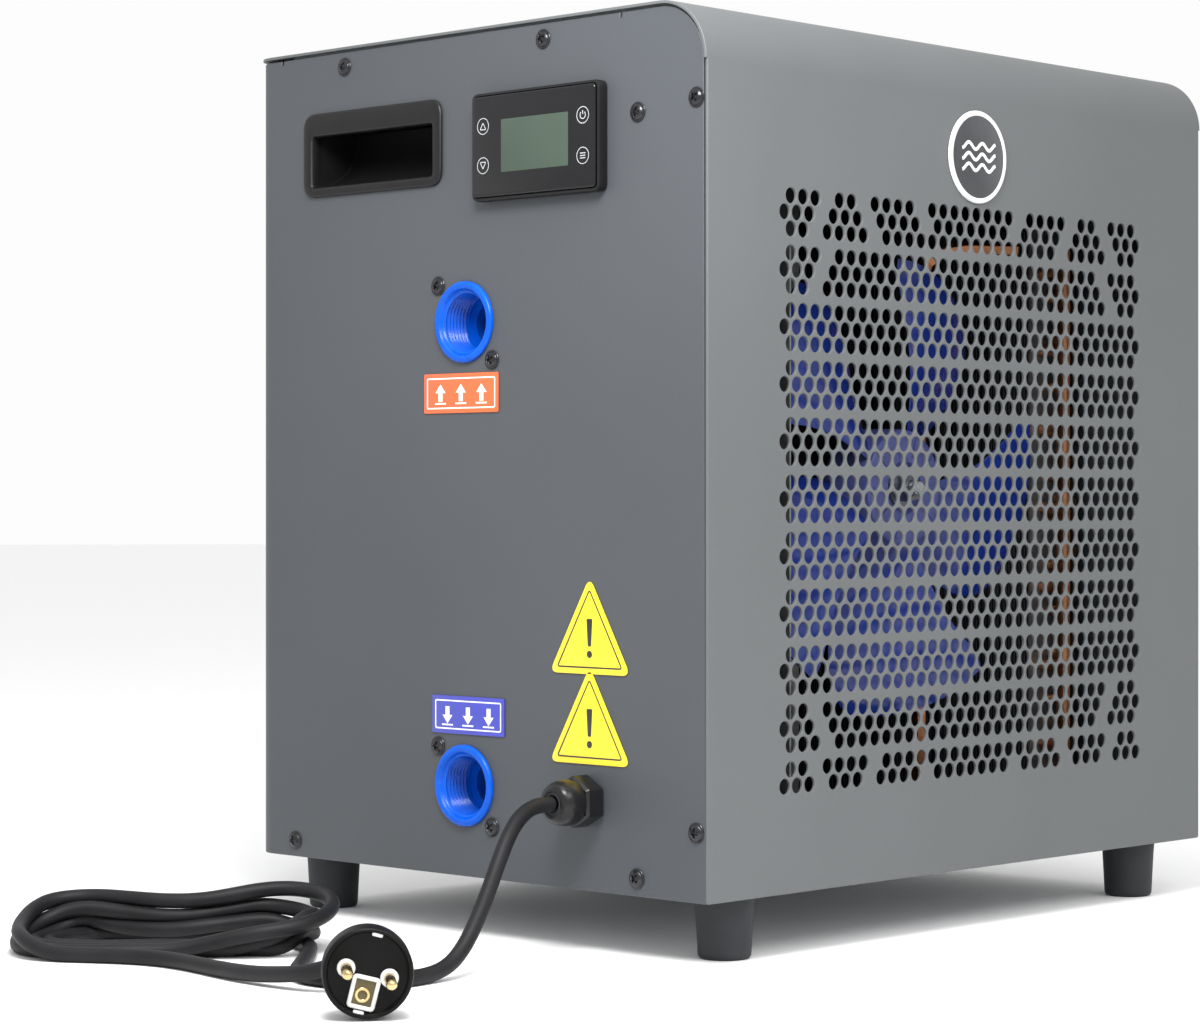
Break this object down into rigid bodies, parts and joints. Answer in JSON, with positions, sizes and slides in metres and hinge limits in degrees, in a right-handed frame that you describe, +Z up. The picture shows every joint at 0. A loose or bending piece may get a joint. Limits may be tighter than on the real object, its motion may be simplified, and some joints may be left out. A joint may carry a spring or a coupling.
{
  "type": "pool heat pump",
  "caption": "Sheet-metal pool heat pump on rubber feet with a perforated fan front, threaded water unions, recessed handles, a touch control panel and a mains lead with plug.",
  "frame": {"origin": "middle of the unit's box on the floor, measured without the mains lead and plug", "axes": "+Z up, -Y towards the side with the water unions, +X out of the fan grille"},
  "size_m": [0.3487, 0.6471, 0.4603],
  "materials": {
    "cover_grey": "fine-textured powder coat",
    "case_grey": "fine-textured powder coat",
    "galvanised": "galvanised, dull",
    "foot_rubber": "matt rubber",
    "black_plastic": "fine-grained moulding",
    "black_glass": "polished black",
    "union_blue": "smooth blue moulding",
    "tank_white": "smooth moulding",
    "black_screw": "black-plated, bright",
    "cord_rubber": "satin sheath",
    "bright_steel": "nickel-plated",
    "orange_label": "printed film",
    "violet_label": "printed film",
    "yellow_label": "printed film",
    "badge_dark": "printed film",
    "fan_blue": "glossy moulding",
    "compressor_black": "black enamel",
    "fin_black": "black coated fins",
    "copper": "drawn copper tube"
  },
  "bodies": {
    "case": {"cover": "cover_grey", "service_panel": "case_grey", "far_panel": "case_grey", "rear_grille": "case_grey", "base_pan": "galvanised", "motor_bracket": "galvanised", "coil_end_plate": "galvanised", "partition": "galvanised", "foot_1": "foot_rubber", "foot_2": "foot_rubber", "foot_3": "foot_rubber", "foot_4": "foot_rubber", "handle_service": "black_plastic", "handle_far": "black_plastic", "control_housing": "black_plastic", "gland_body": "black_plastic", "gland_nut": "black_plastic", "plug_body": "black_plastic", "electrical_box": "black_plastic", "control_glass": "black_glass", "outlet_union": "union_blue", "inlet_union": "union_blue", "heat_exchanger": "tank_white", "plug_earth_socket": "tank_white", "service_screw_1": "black_screw", "service_screw_2": "black_screw", "service_screw_3": "black_screw", "service_screw_4": "black_screw", "service_screw_5": "black_screw", "service_screw_6": "black_screw", "service_screw_7": "black_screw", "union_screw_1": "black_screw", "union_screw_2": "black_screw", "union_screw_3": "black_screw", "union_screw_4": "black_screw", "far_screw_1": "black_screw", "far_screw_2": "black_screw", "far_screw_3": "black_screw", "far_screw_4": "black_screw", "cord_lead": "cord_rubber", "cord_tail": "cord_rubber", "cord_hank": "cord_rubber", "plug_pin_1": "bright_steel", "plug_pin_2": "bright_steel", "plug_earth_clip_1": "bright_steel", "plug_earth_clip_2": "bright_steel", "outlet_label": "orange_label", "inlet_label": "violet_label", "warning_label_upper": "yellow_label", "warning_label_lower": "yellow_label", "front_badge": "badge_dark", "fan_motor": "compressor_black", "compressor": "compressor_black", "coil_fins": "fin_black", "coil_header": "copper", "discharge_pipe": "copper", "liquid_line": "copper"},
    "fan": {"fan_rotor": "fan_blue", "fan_shaft": "bright_steel", "fan_nut": "bright_steel"}
  },
  "joints": [
    {"name": "fan_spin", "type": "hinge", "parent": "case", "child": "fan", "pos_m": [0.091, 0.00845, 0.228], "axis": [1, 0, 0], "continuous": true}
  ]
}
